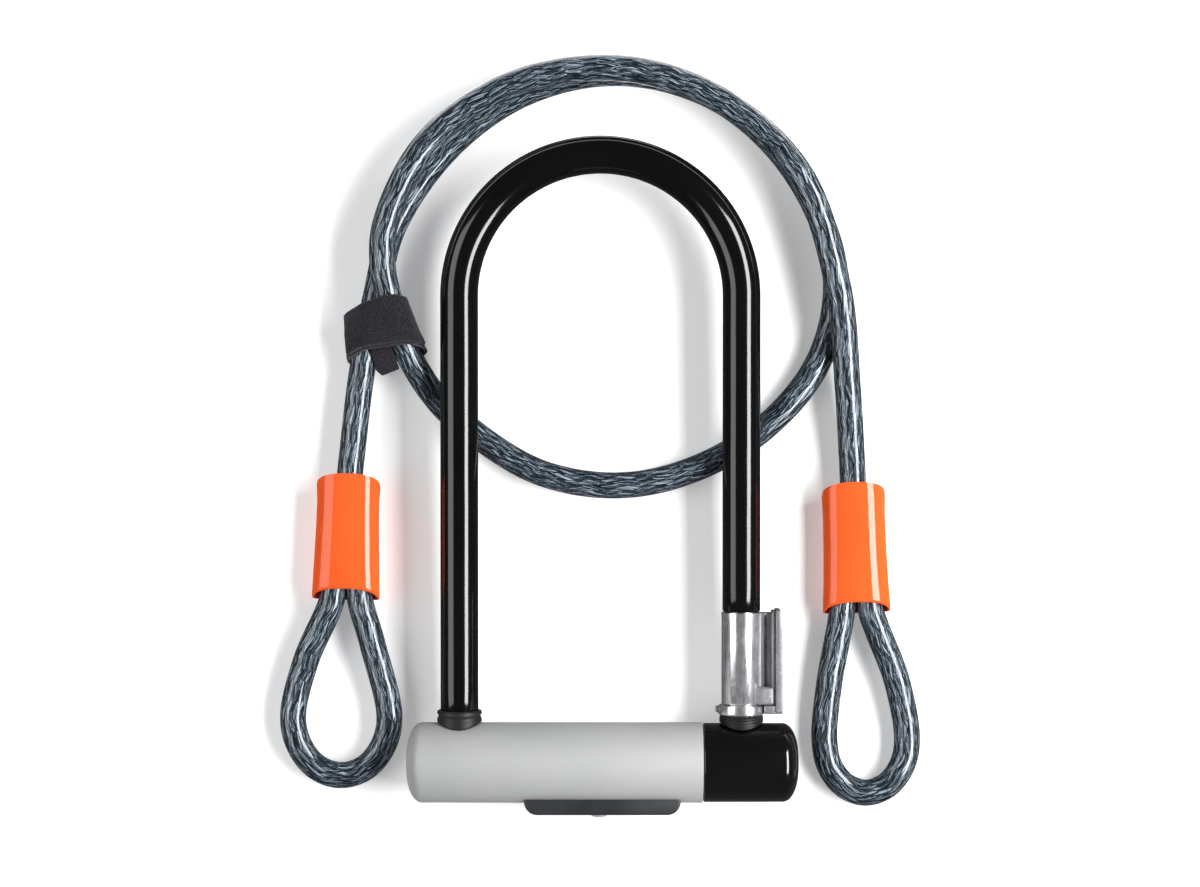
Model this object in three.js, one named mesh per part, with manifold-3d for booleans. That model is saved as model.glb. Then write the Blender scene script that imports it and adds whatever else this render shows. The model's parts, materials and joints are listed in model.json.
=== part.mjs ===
// Bicycle U-lock lying on a table with its double-eye steel cable.
// Millimetres. +X right along the crossbar, +Y toward the bend of the shackle, +Z up from the table.
// The lock is built in its own level frame, whose origin is the middle of the crossbar, and is then
// tipped by the cable that both legs rest on.
import * as THREE from "three";
import { mergeVertices } from "three/addons/utils/BufferGeometryUtils.js";
import Module from "manifold-3d";

const wasm = await Module();
wasm.setup();

// ---- driving dimensions ----
const GAP = 0.3; // between touching pieces
const LEG_X = 58.8; // half the distance between the two leg axes
const BEND_Y = 194.5; // centre of the half-round bend
const BAR_R = 6.5; // hardened shackle bar
const SLEEVE_R = 7.9; // outside of its vinyl sleeve
const FOOT_Y = -9; // blind ends of the legs
const LEFT_SLEEVE_Y = 17.4; // where the vinyl starts on each leg
const RIGHT_SLEEVE_Y = 63.1;

const JACKET_R = 16.7; // outside of the crossbar
const TUBE_R = 15.4;
const TUBE_BORE_R = 12;
const TUBE_HALF = 76;
const LEFT_END_X = -80.8;
const RIGHT_END_X = 82.5;
const JACKET_SPLIT_X = 42.7; // seam between the grey jacket and the black one
const LEG_HOLE_R = 6.9;

const BOLT_Y = 5; // axis of both lock bolts
const BOLT_R = 3.6;
const BOLT_TIP_X = 51.6; // retracted
const BOLT_TRAVEL = 5;
const CAM_PIN = 2.5; // each cam pin starts at this offset in x and in z

const COVER_HALF_X = 13.5; // cable end cover
const COVER_HALF_Z = 8.3;
const COVER_POWER = 2.3; // roundness of its oval section
const COVER_LEAN = 0.6; // how far each end leans toward +Y per unit of height
const COVER_Z = 8.6;
const CABLE_R = 5.5;

const LOCK_TILT = THREE.MathUtils.degToRad(1.15);
const LOCK_AT = new THREE.Vector3(-0.85, -119.15, JACKET_R);

// Centreline of the cable, from the end of its left eye to the end of its right eye:
// an eye, one and a half turns round the shackle and under its legs, and the other eye.
const CABLE_ROUTE = [
  // left eye
  [-101.8, -31, 8.6],
  [-102.3, -49, 8.6],
  [-96.8, -70, 7.8],
  [-89.7, -101, 6.1],
  [-92.4, -113.4, 5.8],
  [-99.8, -122.5, 5.7],
  [-110, -125.8, 5.7],
  [-120.2, -122.5, 5.7],
  [-127.6, -113.4, 5.8],
  [-130.3, -101, 6.1],
  [-124.6, -77, 7.4],
  [-113.6, -51, 8.6],
  // first turn, on the table
  [-113.3, -40, 8.6],
  [-112.9, -29, 8.6],
  [-110.3, -17.5, 8.6],
  [-107.1, -6, 8.6],
  [-105.3, 9, 8.6],
  [-101.4, 42, 8.8],
  [-95.3, 76, 7.9],
  [-87.2, 107, 6],
  [-62.6, 141, 5.7],
  [-29.6, 163, 5.7],
  [10, 169.8, 5.7],
  [50, 158.4, 5.7],
  [82, 127.5, 5.7],
  [98.2, 85, 5.7],
  [90.3, 47, 5.7],
  [59.5, 14, 5.7],
  [15.5, -3, 5.7],
  [-25.5, 1.5, 5.7],
  [-61.5, 24.5, 5.7],
  [-72.5, 36.5, 7.2],
  // second turn, lying on the first
  [-83, 55, 11.6],
  [-88.9, 74, 17.4],
  [-91.6, 88, 18.4],
  [-90.5, 106, 17.1],
  [-73, 140, 15.6],
  [-36, 164.8, 16.4],
  [10, 170.5, 17.1],
  [49.5, 157.4, 17.1],
  [82.5, 126.6, 17.1],
  [98.3, 80, 17.1],
  [102.8, 38, 12.4],
  [105, 6, 8.8],
  [105.9, -9, 8.6],
  [109.2, -22, 8.6],
  [111.8, -33, 8.6],
  [112.2, -44, 8.6],
  // right eye
  [112.6, -55, 8.6],
  [124, -86, 6.9],
  [128.4, -111, 5.8],
  [126.1, -122.1, 5.7],
  [119.7, -130.2, 5.7],
  [111, -133.2, 5.7],
  [102.3, -130.2, 5.7],
  [95.9, -122.1, 5.7],
  [93.6, -111, 5.8],
  [95.4, -88, 6.8],
  [101.1, -53, 8.6],
  [100.6, -35, 8.6],
];

const MATERIALS = {
  vinyl: finish(0x101114, 0.22, 0),
  steel: finish(0x8c8f94, 0.35, 1),
  jacket: finish(0x7e8185, 0.5, 0.4),
  blackCap: finish(0x0c0c0e, 0.18, 0),
  rubber: finish(0x1b1b1d, 0.7, 0),
  clip: finish(0xb9bcc0, 0.25, 1),
  brass: finish(0xb08d4f, 0.35, 1),
  trim: finish(0x3a3d42, 0.5, 0),
  cable: finish(0x5a6372, 0.25, 0.2),
  orange: finish(0xf26a12, 0.18, 0),
  strap: finish(0x17181a, 0.95, 0),
};

function finish(color, roughness, metalness) {
  return new THREE.MeshStandardMaterial({ color, roughness, metalness });
}

// ---- solids and booleans ----
function toSolid(geometry) {
  const bare = new THREE.BufferGeometry().setAttribute("position", geometry.getAttribute("position"));
  bare.setIndex(geometry.index);
  const merged = mergeVertices(bare, 1e-4);
  return new wasm.Manifold(
    new wasm.Mesh({
      numProp: 3,
      vertProperties: merged.attributes.position.array,
      triVerts: new Uint32Array(merged.index.array),
    }),
  );
}

function toGeometry(solid) {
  const { numProp, vertProperties, triVerts } = solid.getMesh();
  return new THREE.BufferGeometry()
    .setAttribute("position", new THREE.BufferAttribute(new Float32Array(vertProperties), numProp))
    .setIndex(new THREE.BufferAttribute(new Uint32Array(triVerts), 1));
}

function cut(geometry, ...tools) {
  return toGeometry(tools.reduce((solid, tool) => solid.subtract(toSolid(tool)), toSolid(geometry)));
}

function join(geometry, ...others) {
  return toGeometry(others.reduce((solid, other) => solid.add(toSolid(other)), toSolid(geometry)));
}

function box(x, y, z) {
  const geometry = new THREE.BoxGeometry(x[1] - x[0], y[1] - y[0], z[1] - z[0]);
  return geometry.translate((x[0] + x[1]) / 2, (y[0] + y[1]) / 2, (z[0] + z[1]) / 2);
}

// A profile of [radius, station] pairs turned round an axis parallel to X or Y.
function turned(profile, axis, sides) {
  const outline = profile.map(([radius, station]) => new THREE.Vector2(radius, station));
  const geometry = new THREE.LatheGeometry(outline, sides);
  return axis === "X" ? geometry.rotateZ(-Math.PI / 2) : geometry;
}

function rod(radius, from, to, axis, sides = 24) {
  return turned([[0, from], [radius, from], [radius, to], [0, to]], axis, sides);
}

function ring(outer, inner, from, to, axis, sides = 24) {
  return turned([[inner, from], [outer, from], [outer, to], [inner, to], [inner, from]], axis, sides);
}

function polygon(points) {
  return new THREE.Shape(points.map(([x, y]) => new THREE.Vector2(x, y)));
}

function circlePoints(radius, sides) {
  return Array.from({ length: sides }, (_, i) => {
    const angle = (2 * Math.PI * i) / sides;
    return [radius * Math.cos(angle), radius * Math.sin(angle)];
  });
}

// A stadium: two half circles whose centres are 2 x halfStep apart.
function stadiumPoints(halfStep, radius, sides) {
  const half = (centre, start) =>
    Array.from({ length: sides + 1 }, (_, i) => {
      const angle = start + (Math.PI * i) / sides;
      return [centre + radius * Math.cos(angle), radius * Math.sin(angle)];
    });
  return [...half(halfStep, -Math.PI / 2), ...half(-halfStep, Math.PI / 2)];
}

// A flat section in x and z, pushed along +Y from one station to another.
function alongY(section, from, to) {
  const geometry = new THREE.ExtrudeGeometry(section, { depth: to - from, bevelEnabled: false });
  return geometry.rotateX(Math.PI / 2).translate(0, to, 0);
}

function mesh(name, geometry, material) {
  const made = new THREE.Mesh(geometry, material);
  made.name = name;
  return made;
}

// ---- shackle ----
// A leg, the half-round bend and the other leg, with one step for each leg and equal steps between.
class ShacklePath extends THREE.Curve {
  constructor(leftFoot, rightFoot, steps) {
    super();
    Object.assign(this, { leftFoot, rightFoot, steps });
  }

  getUtoTmapping(u) {
    return u;
  }

  getPoint(t, target = new THREE.Vector3()) {
    const stage = t * this.steps;
    const last = this.steps - 1;
    if (stage < 1) return target.set(-LEG_X, THREE.MathUtils.lerp(this.leftFoot, BEND_Y, stage), 0);
    if (stage > last) {
      return target.set(LEG_X, THREE.MathUtils.lerp(BEND_Y, this.rightFoot, stage - last), 0);
    }
    const angle = Math.PI * (1 - (stage - 1) / (last - 1));
    return target.set(LEG_X * Math.cos(angle), BEND_Y + LEG_X * Math.sin(angle), 0);
  }
}

function sweptShackle(section, leftFoot, rightFoot) {
  const steps = 20;
  const extrudePath = new ShacklePath(leftFoot, rightFoot, steps);
  return new THREE.ExtrudeGeometry(section, { steps, extrudePath, bevelEnabled: false });
}

function shackleBar() {
  const bar = sweptShackle(polygon(circlePoints(BAR_R, 16)), FOOT_Y, FOOT_Y);
  const notches = [-1, 1].map((side) => {
    const inner = side * (LEG_X - BAR_R - 1);
    const outer = side * (BOLT_TIP_X + BOLT_TRAVEL + 1.1);
    return box([Math.min(inner, outer), Math.max(inner, outer)], [0.4, 9.6], [-8, 8]);
  });
  return mesh("shackle_bar", cut(bar, ...notches), MATERIALS.steel);
}

function shackleSleeve() {
  const section = polygon(circlePoints(SLEEVE_R, 16));
  section.holes.push(polygon(circlePoints(BAR_R + GAP, 16)));
  const sleeve = sweptShackle(section, LEFT_SLEEVE_Y, RIGHT_SLEEVE_Y);
  return mesh("shackle_sleeve", sleeve, MATERIALS.vinyl);
}

// ---- carrying clip on the right leg ----
function mountSleeve() {
  const tube = ring(8.25, BAR_R + GAP, 24.6, 62.8, "Y", 24);
  const web = box([7.4, 14.2], [24.6, 62.8], [-4, 4]);
  const rail = box([12.6, 14.3], [24.6, 62.8], [-5.5, 5.5]);
  const flange = box([14.2, 17], [21, 57], [-7.2, 7.2]);
  const upper = box([14.2, 16.3], [56.9, 64.1], [-6.4, 6.4]);
  const stop = box([8, 12.7], [24.6, 31.9], [-6.5, 6.5]);
  const clip = join(tube, web, rail, flange, upper, stop);
  return cut(clip, rod(BAR_R + GAP, 10, 80, "Y"));
}

function mountParts() {
  const clip = new THREE.Group();
  clip.position.x = LEG_X;
  const band = ring(9.7, BAR_R + GAP, 19.9, 24.3, "Y", 24);
  const bandScrew = rod(1.9, 9.8, 12.2, "X", 12).translate(0, 22.1, 0);
  clip.add(
    mesh("mount_sleeve", mountSleeve(), MATERIALS.clip),
    mesh("mount_band", band, MATERIALS.clip),
    mesh("mount_screw", bandScrew, MATERIALS.steel),
  );
  return clip;
}

// ---- crossbar shell ----
function legHole(side, radius = LEG_HOLE_R) {
  return rod(radius, -9.3, 30, "Y").translate(side * LEG_X, 0, 0);
}

function crossbarTube() {
  const tube = ring(TUBE_R, TUBE_BORE_R, -TUBE_HALF, TUBE_HALF, "X", 40);
  const keyHole = rod(6.5, -30, 0, "Y");
  const upperHoles = [-1, 1].map((side) => rod(LEG_HOLE_R, 2, 30, "Y").translate(side * LEG_X, 0, 0));
  return mesh("crossbar_tube", cut(tube, keyHole, ...upperHoles), MATERIALS.steel);
}

// A skin over one end of the tube, from its open edge to a domed end.
function jacketProfile(openX, endX, radius) {
  const inward = Math.sign(openX - endX);
  const bore = TUBE_R + GAP;
  const innerEnd = Math.sign(endX) * (TUBE_HALF + GAP);
  const dome = [[4, 0], [8, 0.5], [11.5, 1.4], [14.3, 2.9], [15.9, 4.3], [radius, 6.4]];
  const outline = [[0, innerEnd], [0, endX]];
  dome.forEach(([r, back]) => outline.push([r, endX + inward * back]));
  outline.push([radius, openX], [bore, openX], [bore, innerEnd], [0, innerEnd]);
  return inward > 0 ? outline : outline.reverse();
}

function jackets() {
  const left = turned(jacketProfile(JACKET_SPLIT_X - GAP / 2, LEFT_END_X, JACKET_R), "X", 40);
  const right = turned(jacketProfile(JACKET_SPLIT_X + GAP / 2, RIGHT_END_X, JACKET_R - 0.3), "X", 40);
  const keyHole = rod(6.5, -30, 0, "Y");
  const leftHole = rod(LEG_HOLE_R + 0.2, 2, 30, "Y").translate(-LEG_X, 0, 0);
  const rightHole = rod(LEG_HOLE_R + 0.2, 2, 30, "Y").translate(LEG_X, 0, 0);
  return [
    mesh("crossbar_jacket", cut(left, leftHole, keyHole), MATERIALS.jacket),
    mesh("end_jacket", cut(right, rightHole), MATERIALS.blackCap),
  ];
}

function endPlug(side) {
  const from = side > 0 ? 49.3 : -TUBE_HALF + GAP;
  const to = side > 0 ? TUBE_HALF - GAP : -49.3;
  const plug = rod(TUBE_BORE_R - GAP, from, to, "X", 32);
  const boltHole = rod(BOLT_R + 0.35, Math.min(side * 45, side * 60), Math.max(side * 45, side * 60), "X");
  return cut(plug, legHole(side), boltHole.translate(0, BOLT_Y, 0));
}

function boltGuide(side) {
  const ends = [side * 17, side * 48].sort((a, b) => a - b);
  const guide = rod(TUBE_BORE_R - GAP, ends[0], ends[1], "X", 32);
  const bore = rod(BOLT_R + 0.35, ends[0] - 1, ends[1] + 1, "X").translate(0, BOLT_Y, 0);
  return cut(guide, bore);
}

// A rubber boot that grips a leg and sits on the crossbar.
function bumper(side, radius, top) {
  const throat = side < 0 ? LEFT_SLEEVE_Y - GAP : top + 1;
  const profile = [[LEG_HOLE_R, 0], [radius, 0], [radius, top - 1.6], [radius - 1, top]];
  if (throat < top) {
    profile.push([SLEEVE_R + GAP, top], [SLEEVE_R + GAP, throat], [LEG_HOLE_R, throat]);
  } else {
    profile.push([LEG_HOLE_R, top]);
  }
  profile.push([LEG_HOLE_R, 0]);
  const boot = turned(profile, "Y", 28).translate(side * LEG_X, 0, 0);
  return cut(boot, rod(JACKET_R + GAP, -100, 100, "X", 40));
}

// ---- keyway side ----
const SHUTTER_TRAVEL = 14;

function keywayBezel() {
  const outline = new THREE.Shape();
  outline.moveTo(-31.7, -12);
  outline.lineTo(-31.7, -19.4);
  outline.absarc(-30.2, -19.4, 1.5, Math.PI, 1.5 * Math.PI, false);
  outline.absarc(30.3, -17.9, 3, 1.5 * Math.PI, 2 * Math.PI, false);
  outline.lineTo(33.3, -12);
  const pad = new THREE.ExtrudeGeometry(outline, { depth: 18, bevelEnabled: false, curveSegments: 4 });
  return cut(
    pad.translate(0, 0, -9),
    rod(JACKET_R + GAP, -40, 40, "X", 40),
    rod(6.5, -30, 0, "Y"),
    box([-9.4, 9.4 + SHUTTER_TRAVEL], [-20.4, -18.5], [-6, 6]),
    box([-5.2, 4.4 + SHUTTER_TRAVEL], [-22, -20.3], [-4.4, 4.4]),
  );
}

function dustCover() {
  const plate = box([-9, 9], [-20.1, -18.9], [-5.6, 5.6]);
  const knob = turned([[0, -22.75], [2.6, -22.75], [3.8, -21.9], [3.8, -20.4], [0, -20.4]], "Y", 20);
  return [
    mesh("dust_cover", plate, MATERIALS.trim),
    mesh("cover_knob", knob.translate(-0.5, 0, 0), MATERIALS.clip),
  ];
}

// ---- lock mechanism ----
function lockHousing() {
  const body = rod(TUBE_BORE_R - GAP, -16.7, 16.7, "X", 32);
  return cut(
    body,
    rod(9.1, -20, 1.2, "Y"),
    box([-20, 20], [1.1, 8.95], [-6.4, 6.4]),
  );
}

function cylinderShell() {
  return cut(ring(8.8, 6.6, -7.6, 0.9, "Y"), box([5.2, 7.4], [-6.8, -0.9], [-1.1, 1.1]));
}

function drillGuard() {
  return ring(6.2, 4.4, -15.3, -12.4, "Y");
}

const DISC_PITCH = 1.5;
const DISC_COUNT = 5;

function keySlot(from, to) {
  return box([-3.4, 3.4], [from, to], [-1.7, 1.7]);
}

function lockCore() {
  const cage = turned(
    [[0, -12.1], [6.3, -12.1], [6.3, 0.9], [0, 0.9]],
    "Y",
    24,
  );
  return cut(cage, rod(5.3, -10.6, -0.9, "Y"), keySlot(-13, -9), box([4.4, 7], [-6.8, -0.9], [-0.9, 0.9]));
}

function detainerDiscs() {
  return Array.from({ length: DISC_COUNT }, (_, i) => {
    const start = -10.3 + i * (DISC_PITCH + GAP);
    const disc = cut(rod(5, start, start + DISC_PITCH, "Y", 20), keySlot(start - 1, start + 3));
    return mesh(`detainer_disc_${i + 1}`, disc, MATERIALS.brass);
  });
}

function driveCam() {
  const disc = rod(6, 1.3, 2.5, "Y", 20);
  const pins = [-1, 1].map((side) =>
    rod(1.2, 2.4, 6.1, "Y", 12).translate(-side * CAM_PIN, 0, side * CAM_PIN),
  );
  return join(disc, ...pins);
}

// A round bolt with a flat tail, whose slot the cam pin drives.
function lockBolt(side) {
  const shank = rod(BOLT_R, Math.min(side * 9, side * BOLT_TIP_X), Math.max(side * 9, side * BOLT_TIP_X), "X");
  const z = [side * 0.3, side * 6].sort((a, b) => a - b);
  const tail = box([side * -5.6, side * 10].sort((a, b) => a - b), [3, 6.4], z);
  const slotX = [-side * CAM_PIN - 1.6, -side * CAM_PIN + 1.6];
  const slotZ = [side * 1, side * 5.1].sort((a, b) => a - b);
  const bolt = join(shank.translate(0, BOLT_Y, 0), tail);
  return cut(bolt, box(slotX, [2, 8], slotZ));
}

function mechanism() {
  return [
    mesh("lock_housing", lockHousing(), MATERIALS.steel),
    mesh("cylinder_shell", cylinderShell(), MATERIALS.brass),
    mesh("drill_guard", drillGuard(), MATERIALS.steel),
    mesh("lock_core", lockCore(), MATERIALS.brass),
    ...detainerDiscs(),
    mesh("sidebar", box([5.4, 6.4], [-6.4, -1.3], [-0.55, 0.55]), MATERIALS.steel),
    mesh("drive_cam", driveCam(), MATERIALS.steel),
    mesh("left_bolt", lockBolt(-1), MATERIALS.steel),
    mesh("right_bolt", lockBolt(1), MATERIALS.steel),
  ];
}

function crossbar() {
  return [
    crossbarTube(),
    ...jackets(),
    mesh("left_end_plug", endPlug(-1), MATERIALS.steel),
    mesh("right_end_plug", endPlug(1), MATERIALS.steel),
    mesh("left_bolt_guide", boltGuide(-1), MATERIALS.steel),
    mesh("right_bolt_guide", boltGuide(1), MATERIALS.steel),
    mesh("left_bumper", bumper(-1, 9.3, 22), MATERIALS.rubber),
    mesh("right_bumper", bumper(1, 9.2, 19.6), MATERIALS.rubber),
    mesh("keyway_bezel", keywayBezel(), MATERIALS.trim),
    ...dustCover(),
  ];
}

// ---- cable and what is on it ----
function cableTube() {
  const route = CABLE_ROUTE.map((point) => new THREE.Vector3(...point));
  const extrudePath = new THREE.CatmullRomCurve3(route, false, "centripetal");
  extrudePath.arcLengthDivisions = 1200;
  const section = polygon(circlePoints(CABLE_R, 10));
  const tube = new THREE.ExtrudeGeometry(section, { steps: 120, extrudePath, bevelEnabled: false });
  return mesh("cable", tube, MATERIALS.cable);
}

function flatSleeve(halfStep, outer, inner, length) {
  const section = polygon(stadiumPoints(halfStep, outer, 7));
  section.holes.push(polygon(stadiumPoints(halfStep, inner, 7)));
  return alongY(section, -length / 2, length / 2);
}

// A rounded oval in x and z: an ellipse at power 2, fuller in its corners above that.
function ovalPoints(halfX, halfZ, power, sides) {
  const bend = (value) => Math.sign(value) * Math.abs(value) ** (2 / power);
  return Array.from({ length: sides }, (_, i) => {
    const angle = (2 * Math.PI * (i + 0.5)) / sides;
    return [halfX * bend(Math.cos(angle)), halfZ * bend(Math.sin(angle))];
  });
}

const CRIMP = { length: 14, y: -10 };

// The crimp that closes an eye and the snap-on cover over it.
function eyeEnd(name, x, y, turn, coverLength) {
  const halfStep = 5.7;
  const end = new THREE.Group();
  end.position.set(x, y, COVER_Z);
  end.rotation.z = THREE.MathUtils.degToRad(turn);
  const crimp = flatSleeve(halfStep, 6.7, 5.85, CRIMP.length).translate(0, CRIMP.y, 0);
  const oval = polygon(ovalPoints(COVER_HALF_X, COVER_HALF_Z, COVER_POWER, 32));
  const solid = alongY(oval, -coverLength / 2, coverLength / 2);
  const hollow = alongY(polygon(stadiumPoints(halfStep, 6.7 + GAP, 7)), -coverLength, coverLength);
  const lean = new THREE.Matrix4().makeShear(0, 0, 0, 0, 0, COVER_LEAN);
  const cover = cut(solid, hollow).applyMatrix4(lean);
  end.add(
    mesh(`${name}_ferrule`, crimp, MATERIALS.steel),
    mesh(`${name}_ferrule_cover`, cover, MATERIALS.orange),
  );
  return end;
}

// The strap's loop: a flat band round both strands, whose section follows them as they draw together.
const STRAP = {
  front: { lower: [-101.2, 8.8], upper: [-80.6, 10.6], y: 50 },
  back: { lower: [-97.3, 8.8], upper: [-86.9, 15.75], y: 69.5 },
  clearance: 1.1,
  thickness: 2.1,
  skew: 0.1,
};

function strapSection(stations, radius, sides) {
  const [ax, az] = stations.lower;
  const [bx, bz] = stations.upper;
  const lean = Math.atan2(bz - az, bx - ax);
  const point = (x, z, angle) => {
    const px = x + radius * Math.cos(angle + lean);
    return [px, stations.y + STRAP.skew * (px + 90), z + radius * Math.sin(angle + lean)];
  };
  const half = (x, z, start) =>
    Array.from({ length: sides + 1 }, (_, i) => point(x, z, start + (Math.PI * i) / sides));
  return [...half(bx, bz, -Math.PI / 2), ...half(ax, az, Math.PI / 2)];
}

function strapLoop() {
  const inner = CABLE_R + STRAP.clearance;
  const outer = inner + STRAP.thickness;
  const rows = [
    strapSection(STRAP.front, inner, 7),
    strapSection(STRAP.front, outer, 7),
    strapSection(STRAP.back, outer, 7),
    strapSection(STRAP.back, inner, 7),
  ];
  const count = rows[0].length;
  const positions = new Float32Array(rows.flat(2));
  const index = [];
  rows.forEach((_, row) => {
    const next = ((row + 1) % rows.length) * count;
    for (let i = 0; i < count; i++) {
      const j = (i + 1) % count;
      const [a, b, c, d] = [row * count + i, row * count + j, next + j, next + i];
      index.push(a, c, b, a, d, c);
    }
  });
  const geometry = new THREE.BufferGeometry();
  geometry.setAttribute("position", new THREE.BufferAttribute(positions, 3));
  return geometry.setIndex(index);
}

function strapTail() {
  const tail = mesh("strap_tail", box([-3.8, 3.8], [-7.5, 7.5], [-0.8, 0.8]), MATERIALS.strap);
  tail.position.set(-90.9, 47.2, 10.6);
  tail.rotation.set(0.42, 0, 0.16, "ZXY");
  return tail;
}

function cableSet() {
  return [
    cableTube(),
    eyeEnd("left", -107.3, -27.2, -1.5, 48),
    eyeEnd("right", 106.2, -31.8, 1.7, 50),
    mesh("cable_strap", strapLoop(), MATERIALS.strap),
    strapTail(),
  ];
}

// ---- assembly ----
const lock = new THREE.Group();
lock.position.copy(LOCK_AT);
lock.rotation.x = LOCK_TILT;
lock.add(shackleBar(), shackleSleeve(), mountParts(), ...crossbar(), ...mechanism());

const part = new THREE.Group();
part.add(lock, ...cableSet());

export default part;
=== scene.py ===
import json
import math

import bmesh
import bpy
from mathutils import Matrix, Vector


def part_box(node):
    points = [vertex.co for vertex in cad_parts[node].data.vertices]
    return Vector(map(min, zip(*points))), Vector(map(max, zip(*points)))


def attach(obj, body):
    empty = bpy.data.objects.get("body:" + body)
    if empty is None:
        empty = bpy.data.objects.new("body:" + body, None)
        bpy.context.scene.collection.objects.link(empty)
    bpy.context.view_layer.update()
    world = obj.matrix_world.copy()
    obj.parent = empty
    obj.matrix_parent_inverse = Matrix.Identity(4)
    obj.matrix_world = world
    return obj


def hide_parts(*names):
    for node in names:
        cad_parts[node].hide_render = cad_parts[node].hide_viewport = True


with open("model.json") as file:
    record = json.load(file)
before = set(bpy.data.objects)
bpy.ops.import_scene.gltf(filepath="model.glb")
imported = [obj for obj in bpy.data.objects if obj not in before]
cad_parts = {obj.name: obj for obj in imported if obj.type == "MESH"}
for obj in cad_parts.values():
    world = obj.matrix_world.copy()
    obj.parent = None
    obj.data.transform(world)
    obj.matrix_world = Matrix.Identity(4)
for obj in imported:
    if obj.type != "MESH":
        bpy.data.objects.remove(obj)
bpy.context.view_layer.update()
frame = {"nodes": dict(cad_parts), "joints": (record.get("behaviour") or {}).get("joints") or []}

# ---- sizes, in metres; the lock's are in its own frame, from the middle of the crossbar ----
# shackle
LEG_X = 0.0588
BEND_Y = 0.1945  # the bend's centre
BAR_R = 0.0065
BAR_CHAMFER = 0.0009
FOOT_FACE_R = 0.0045
FOOT_Y = -0.009
NOTCH_X = (0.050, 0.0577)
NOTCH_Y = (0.0004, 0.0096)
NOTCH_Z = (-0.009, 0.009)
SLEEVE_R = 0.0079
SLEEVE_BORE_R = 0.0068
SLEEVE_LIP = 0.0006
LEFT_SLEEVE_Y = 0.0174
RIGHT_SLEEVE_Y = 0.0631

# crossbar
JACKET_R = 0.0167
JACKET_BORE_R = 0.0157
JACKET_BORE_X = 0.0763
JACKET_SIDES = 128
LEFT_END_X = -0.0808
RIGHT_END_X = 0.0825
SPLIT_X = 0.0427  # where the grey and the black jacket meet
SPLIT_GAP = 0.0003
END_FLAT_R = 0.004
END_DOME = 0.0064
LEG_HOLE_R = 0.0071
KEY_HOLE_R = 0.0065
BOOT_BORE_R = 0.0069

# cable, crimps and covers
CABLE_R = 0.0055
CABLE_SIDES = 32
STRANDS = 14  # one way round the cable
STRAND_LAY = 0.014  # along the cable, from one strand to the next
CRIMP_HALF = 0.007  # half of its length
CRIMP_Y = -0.010  # from the cover's middle toward the eye
COVER_Z = 0.0086  # the height of a cover's middle
COVER_HALF_Z = 0.0083
COVER_RIM = 0.0006
COVER_LEAN = 0.6  # how far a cover's ends lean toward +Y per unit of height
COVER_TURNS = {"left": -1.5, "right": 1.7}  # degrees

# hook-and-loop tie
STRAP_Y = 0.0600
STRAP_HALF = 0.0098
STRAP_SKEW = 0.10  # how far the band turns toward +Y per unit of X
STRAP_LEAN = 0.38  # how far the band leans toward +Y per unit of height
STRAP_INNER_R = CABLE_R + 0.0002
STRAP_OUTER_R = CABLE_R + 0.0019
OVERLAP_POINTS = slice(38, 78)  # outline points between which the tie's free end lies over itself

# The cable's centreline.
CABLE_ROUTE = [
    # left eye
    (-0.1018, -0.031, 0.0086), (-0.1023, -0.049, 0.0086), (-0.0968, -0.07, 0.0078),
    (-0.0897, -0.101, 0.0061), (-0.0924, -0.1134, 0.0058), (-0.0998, -0.1225, 0.0057),
    (-0.11, -0.1258, 0.0057), (-0.1202, -0.1225, 0.0057), (-0.1276, -0.1134, 0.0058),
    (-0.1303, -0.101, 0.0061), (-0.1246, -0.077, 0.0074), (-0.1136, -0.051, 0.0086),
    # first turn, on the table
    (-0.1133, -0.04, 0.0086), (-0.1129, -0.029, 0.0086), (-0.1103, -0.0175, 0.0086),
    (-0.1071, -0.006, 0.0086), (-0.1053, 0.009, 0.0086), (-0.1014, 0.042, 0.0088),
    (-0.0953, 0.076, 0.0079), (-0.0872, 0.107, 0.006), (-0.0626, 0.141, 0.0057),
    (-0.0296, 0.163, 0.0057), (0.01, 0.1698, 0.0057), (0.05, 0.1584, 0.0057), (0.082, 0.1275, 0.0057),
    (0.0982, 0.085, 0.0057), (0.0903, 0.047, 0.0057), (0.0595, 0.014, 0.0057), (0.0155, -0.003, 0.0057),
    (-0.0255, 0.0015, 0.0057), (-0.0615, 0.0245, 0.0057), (-0.0725, 0.0365, 0.0072),
    # second turn, lying on the first
    (-0.083, 0.055, 0.0116), (-0.0889, 0.074, 0.0174), (-0.0916, 0.088, 0.0184),
    (-0.0905, 0.106, 0.0171), (-0.073, 0.14, 0.0156), (-0.036, 0.1648, 0.0164), (0.01, 0.1705, 0.0171),
    (0.0495, 0.1574, 0.0171), (0.0825, 0.1266, 0.0171), (0.0983, 0.08, 0.0171), (0.1028, 0.038, 0.0124),
    (0.105, 0.006, 0.0088), (0.1059, -0.009, 0.0086), (0.1092, -0.022, 0.0086), (0.1118, -0.033, 0.0086),
    (0.1122, -0.044, 0.0086),
    # right eye
    (0.1126, -0.055, 0.0086), (0.124, -0.086, 0.0069), (0.1284, -0.111, 0.0058),
    (0.1261, -0.1221, 0.0057), (0.1197, -0.1302, 0.0057), (0.111, -0.1332, 0.0057),
    (0.1023, -0.1302, 0.0057), (0.0959, -0.1221, 0.0057), (0.0936, -0.111, 0.0058),
    (0.0954, -0.088, 0.0068), (0.1011, -0.053, 0.0086), (0.1006, -0.035, 0.0086),
]


# ---- the lock's own frame, tipped by the cable under its legs ----
def middle(node, axis):
    low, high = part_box(node)
    return (low[axis] + high[axis]) / 2


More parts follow.
